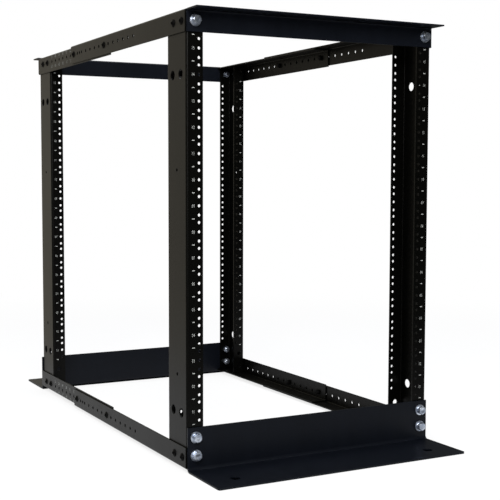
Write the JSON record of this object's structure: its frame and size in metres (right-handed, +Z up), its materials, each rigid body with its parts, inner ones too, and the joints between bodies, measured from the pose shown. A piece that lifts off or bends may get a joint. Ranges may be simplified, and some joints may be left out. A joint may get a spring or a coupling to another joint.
{
  "type": "four post open frame rack",
  "caption": "Open frame equipment rack: channel posts with rack unit holes, angle feet and top angles, and nested side rails bolted together to set its depth.",
  "frame": {"origin": "centre of the footprint at floor level", "axes": "+X to the right seen from the front, +Y from the front to the rear, +Z up"},
  "size_m": [0.5258, 1.0398, 0.7921],
  "materials": {
    "black_steel": "satin black powder coat",
    "zinc": "bright zinc plate",
    "black_screw": "black oxide"
  },
  "bodies": {
    "root": {"front_left_post": "black_steel", "front_right_post": "black_steel", "rear_left_post": "black_steel", "rear_right_post": "black_steel", "front_top_angle": "black_steel", "rear_top_angle": "black_steel", "front_foot": "black_steel", "rear_foot": "black_steel", "left_upper_front_rail": "black_steel", "left_upper_rear_rail": "black_steel", "left_lower_front_rail": "black_steel", "left_lower_rear_rail": "black_steel", "right_upper_front_rail": "black_steel", "right_upper_rear_rail": "black_steel", "right_lower_front_rail": "black_steel", "right_lower_rear_rail": "black_steel", "front_top_bolts": "zinc", "rear_top_bolts": "zinc", "front_left_foot_bolts": "zinc", "front_right_foot_bolts": "zinc", "rear_left_foot_bolts": "zinc", "rear_right_foot_bolts": "zinc", "left_upper_lap_screws": "black_screw", "left_lower_lap_screws": "black_screw", "right_upper_lap_screws": "black_screw", "right_lower_lap_screws": "black_screw", "front_left_upper_screws": "black_screw", "front_left_lower_screws": "black_screw", "front_right_upper_screws": "black_screw", "front_right_lower_screws": "black_screw", "rear_left_upper_screws": "black_screw", "rear_left_lower_screws": "black_screw", "rear_right_upper_screws": "black_screw", "rear_right_lower_screws": "black_screw"}
  },
  "joints": []
}
